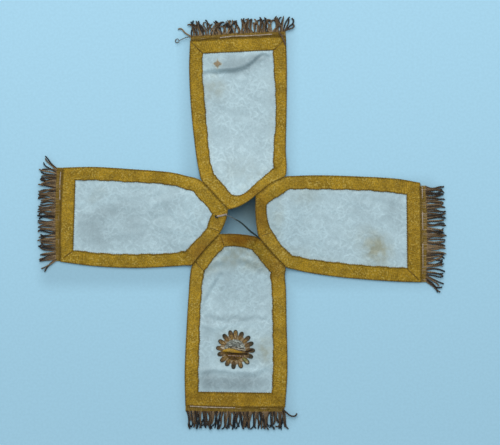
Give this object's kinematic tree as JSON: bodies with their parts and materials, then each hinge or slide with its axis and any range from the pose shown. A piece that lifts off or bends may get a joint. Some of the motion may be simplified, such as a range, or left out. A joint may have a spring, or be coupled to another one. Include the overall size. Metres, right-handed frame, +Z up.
{
  "type": "ciborium veil",
  "caption": "Cross-shaped ciborium veil of silk damask lappets with gold galloon borders, bullion-fringed ends and an embroidered sunburst, laid out flat round its open centre.",
  "frame": {"origin": "centre of the laid-out veil's outline, on the surface that it lies on", "axes": "+Z up from the surface; +Y along the lappet that has the cross fold; -Y along the lappet that has the sunburst; +X along the lappet on the right when the sunburst is nearest"},
  "size_m": [0.4695, 0.4762, 0.0258],
  "materials": {
    "silk_damask": "pale blue-white silk damask with a faint woven pattern, soft sheen, stained in places",
    "galloon": "woven gold metal-thread galloon, twill lights, dark stitched edges",
    "heading_braid": "dull gold braid with a paler cord line",
    "bullion": "tarnished brown metal-thread bullion, softly glinting",
    "ray_thread": "tarnished gold purl loops",
    "silver_thread": "dulled silver chip purl",
    "field_thread": "brown-gold couched thread",
    "bar_thread": "bright padded gold thread",
    "sewing_thread": "dull grey-white twisted sewing thread"
  },
  "bodies": {
    "root": {"panel_top": "silk_damask", "panel_right": "silk_damask", "panel_bottom": "silk_damask", "panel_left": "silk_damask", "galloon_top": "galloon", "galloon_right": "galloon", "galloon_bottom": "galloon", "galloon_left": "galloon", "heading_top": "heading_braid", "heading_right": "heading_braid", "heading_bottom": "heading_braid", "heading_left": "heading_braid", "fringe_top": "bullion", "fringe_right": "bullion", "fringe_bottom": "bullion", "fringe_left": "bullion", "emblem_rays": "ray_thread", "emblem_silver": "silver_thread", "emblem_field": "field_thread", "emblem_bar": "bar_thread", "loose_thread": "sewing_thread"}
  },
  "joints": []
}
